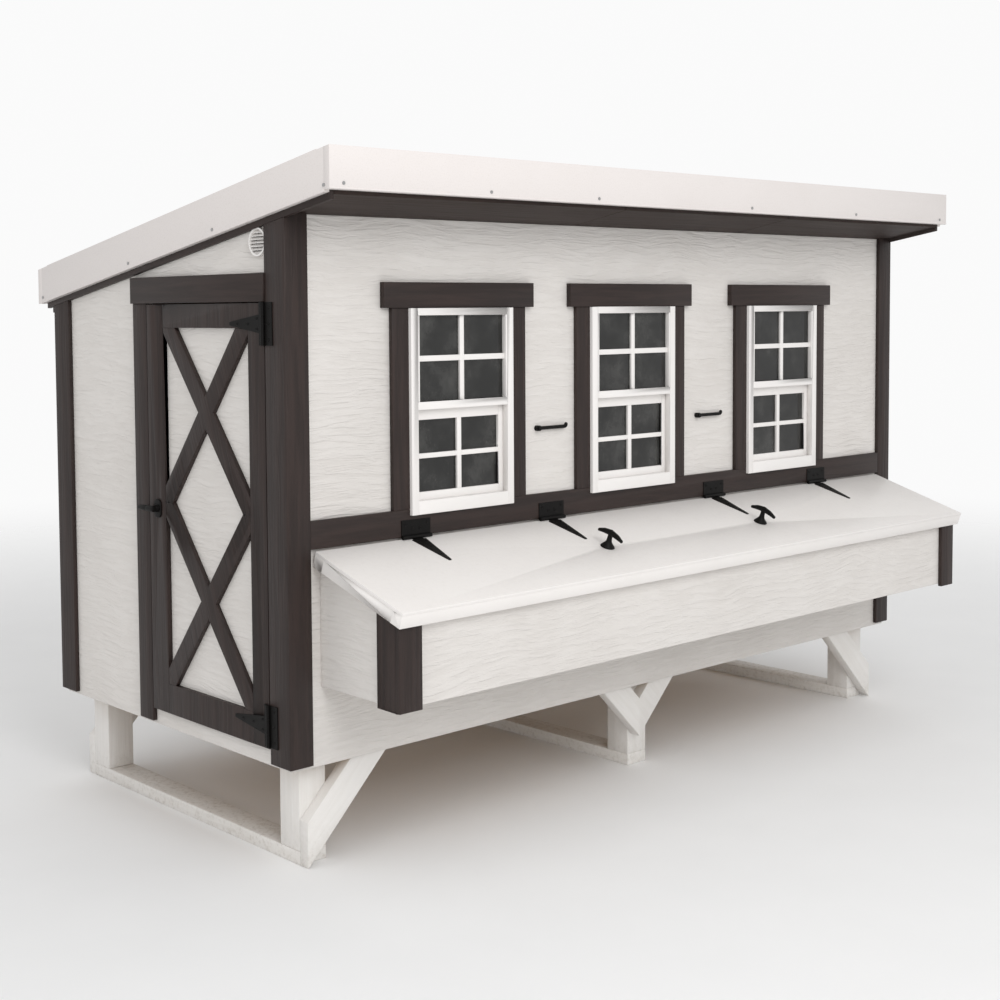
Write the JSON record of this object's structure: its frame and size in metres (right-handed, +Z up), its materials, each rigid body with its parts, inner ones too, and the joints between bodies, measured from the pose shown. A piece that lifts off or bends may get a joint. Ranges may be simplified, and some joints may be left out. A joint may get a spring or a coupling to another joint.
{
  "type": "chicken coop",
  "caption": "Raised timber hen house on skid frames, with a sloping roof, sash windows, a hinged nest-box lid and a braced side door.",
  "frame": {"origin": "middle of the whole coop's footprint, at the underside of the skids", "axes": "+Z up, +X along the front towards the hen-door end, +Y from the nest-box side to the rear"},
  "size_m": [2.891, 1.6638, 1.905],
  "materials": {
    "siding_paint": "warm white paint on grained sheet",
    "trim_paint": "dark brown paint",
    "soffit_paint": "dark brown paint",
    "skid_paint": "white paint, scuffed",
    "raw_timber": "planed, unpainted",
    "window_paint": "white moulded frame",
    "window_glass": "clear, dark behind",
    "roof_metal": "white enamel",
    "screw_steel": "zinc",
    "lid_paint": "satin white paint",
    "black_iron": "black powder coat"
  },
  "bodies": {
    "coop": {"skid_runners": "skid_paint", "skid_legs": "skid_paint", "skid_braces": "skid_paint", "floor_frame": "raw_timber", "floor_deck": "raw_timber", "front_siding": "siding_paint", "rear_siding": "siding_paint", "left_siding": "siding_paint", "right_siding": "siding_paint", "wall_frame": "raw_timber", "corner_trim_front_left": "trim_paint", "corner_trim_front_right": "trim_paint", "corner_trim_rear_left": "trim_paint", "corner_trim_rear_right": "trim_paint", "belt_rail": "trim_paint", "window_trim": "trim_paint", "door_trim": "trim_paint", "window_frame_1": "window_paint", "window_frame_2": "window_paint", "window_frame_3": "window_paint", "upper_panes": "window_glass", "rafters": "raw_timber", "soffit_panels": "soffit_paint", "roof_deck": "raw_timber", "roof_sheet": "roof_metal", "fascia_front": "roof_metal", "fascia_rear": "roof_metal", "fascia_ends": "roof_metal", "frieze_boards": "trim_paint", "fascia_screws": "screw_steel", "nest_floor": "siding_paint", "nest_front": "siding_paint", "nest_partitions": "siding_paint", "nest_corner_trim": "trim_paint", "lid_hinge_leaves": "black_iron", "door_hinge_leaves": "black_iron", "hook_eyes": "black_iron", "vent": "window_paint", "roost_bars": "raw_timber", "pop_door_guides": "trim_paint"},
    "lid": {"lid_frame": "lid_paint", "lid_top": "lid_paint", "lid_hinge_straps": "black_iron"},
    "lid_handle_left": {"lid_handle_left": "black_iron"},
    "lid_handle_right": {"lid_handle_right": "black_iron"},
    "door": {"door_panel": "siding_paint", "door_frame": "trim_paint", "door_cross_braces": "trim_paint", "door_hinge_straps": "black_iron", "door_latch_plate": "black_iron"},
    "door_handle": {"door_handle": "black_iron"},
    "sash_1": {"sash_1": "window_paint", "sash_pane_1": "window_glass"},
    "sash_2": {"sash_2": "window_paint", "sash_pane_2": "window_glass"},
    "sash_3": {"sash_3": "window_paint", "sash_pane_3": "window_glass"},
    "hook_left": {"hook_left": "black_iron"},
    "hook_right": {"hook_right": "black_iron"},
    "pop_door": {"pop_door": "siding_paint"}
  },
  "joints": [
    {"name": "lid_hinge", "type": "hinge", "parent": "coop", "child": "lid", "pos_m": [0, -0.48474, 0.86647], "axis": [-1, 0, 0], "range_deg": [0, 80]},
    {"name": "lid_handle_left_turn", "type": "hinge", "parent": "lid", "child": "lid_handle_left", "pos_m": [-0.4025, -0.6807, 0.79649], "axis": [0, -0.309, 0.9511], "range_deg": [0, 90]},
    {"name": "lid_handle_right_turn", "type": "hinge", "parent": "lid", "child": "lid_handle_right", "pos_m": [0.3395, -0.6807, 0.79649], "axis": [0, -0.309, 0.9511], "range_deg": [0, 90]},
    {"name": "door_hinge", "type": "hinge", "parent": "coop", "child": "door", "pos_m": [-1.4205, -0.38658, 0.9315], "axis": [0, 0, 1], "range_deg": [0, 150]},
    {"name": "door_handle_turn", "type": "hinge", "parent": "door", "child": "door_handle", "pos_m": [-1.4145, 0.15492, 0.927], "axis": [1, 0, 0], "range_deg": [0, 90]},
    {"name": "sash_1_slide", "type": "slide", "parent": "coop", "child": "sash_1", "axis": [0, 0, 1], "range_m": [0, 0.23]},
    {"name": "sash_2_slide", "type": "slide", "parent": "coop", "child": "sash_2", "axis": [0, 0, 1], "range_m": [0, 0.23]},
    {"name": "sash_3_slide", "type": "slide", "parent": "coop", "child": "sash_3", "axis": [0, 0, 1], "range_m": [0, 0.23]},
    {"name": "hook_left_swing", "type": "hinge", "parent": "coop", "child": "hook_left", "pos_m": [-0.47945, -0.47408, 1.14], "axis": [0, 1, 0], "range_deg": [0, 90]},
    {"name": "hook_right_swing", "type": "hinge", "parent": "coop", "child": "hook_right", "pos_m": [0.2774, -0.47408, 1.14], "axis": [0, 1, 0], "range_deg": [0, 90]},
    {"name": "pop_door_slide", "type": "slide", "parent": "coop", "child": "pop_door", "axis": [0, 0, 1], "range_m": [0, 0.34]}
  ]
}
